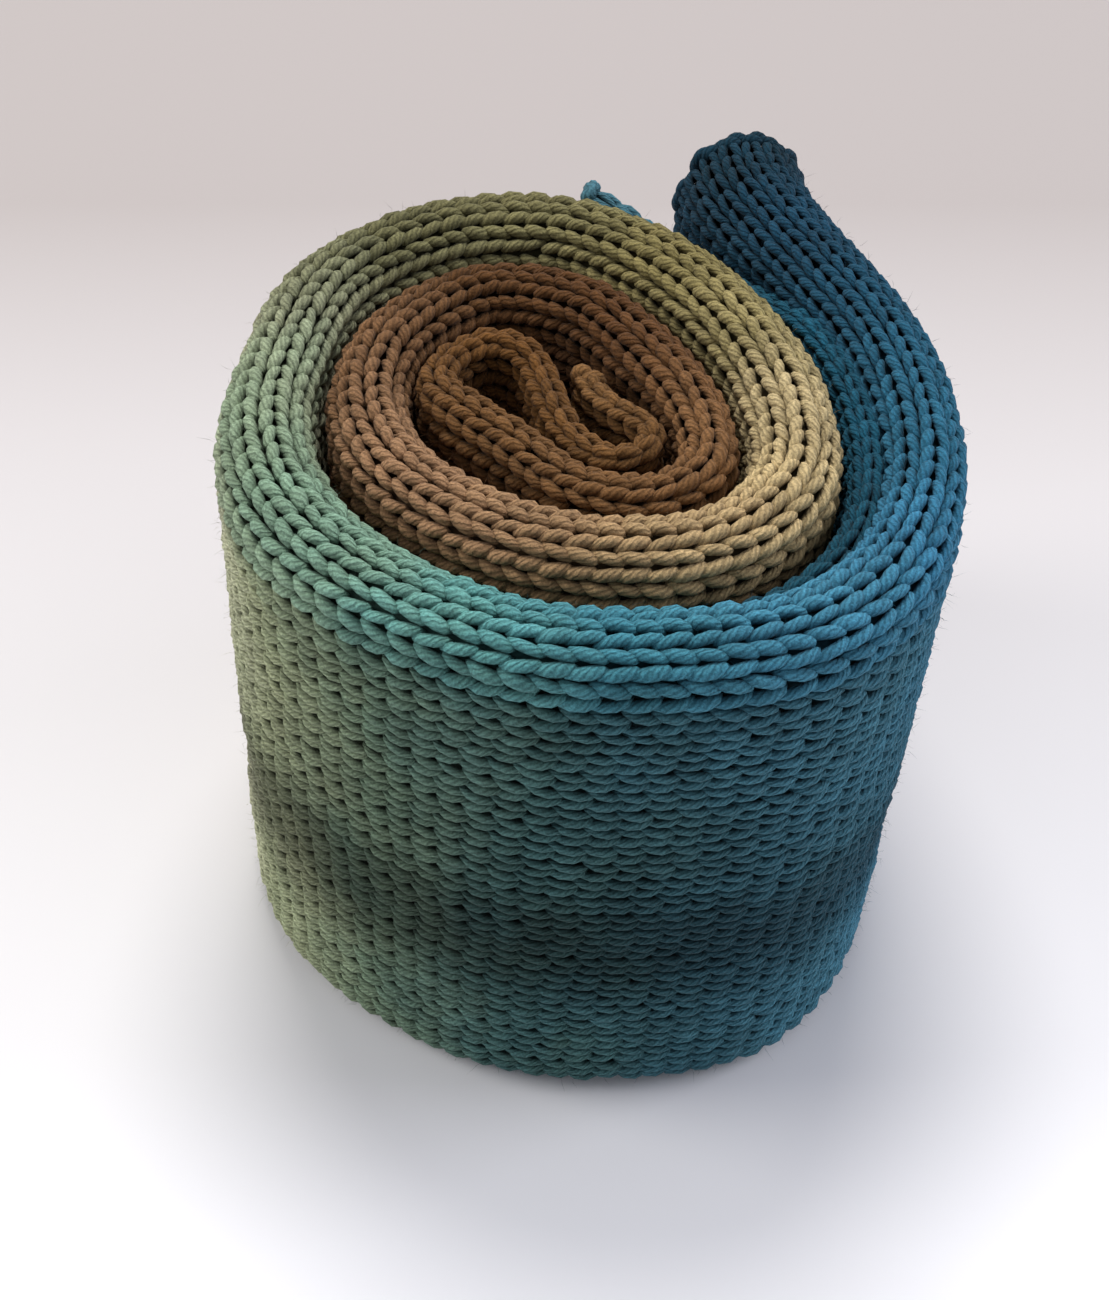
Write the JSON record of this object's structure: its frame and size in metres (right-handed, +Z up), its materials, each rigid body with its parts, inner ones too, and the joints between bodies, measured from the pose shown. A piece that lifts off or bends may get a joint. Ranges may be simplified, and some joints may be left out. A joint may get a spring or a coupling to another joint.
{
  "type": "rolled sock yarn blank",
  "caption": "Machine knitted tube of doubled sock yarn, dyed in a gradient, pressed flat, rolled up and stood on its edge with a loose outer end.",
  "frame": {"origin": "under the middle of the roll's box, on the surface it stands on", "axes": "+Z up along the roll's axis, -Y towards the picture's viewer, +X to the viewer's right; the loose outer end is at the back right"},
  "size_m": [0.0978, 0.1132, 0.085],
  "materials": {
    "dyed_knit": "matt plied wool sock yarn in plain knit, hand dyed from deep blue through sea green and olive to tan and brown"
  },
  "bodies": {
    "root": {"rolled_blank": "dyed_knit"}
  },
  "joints": []
}
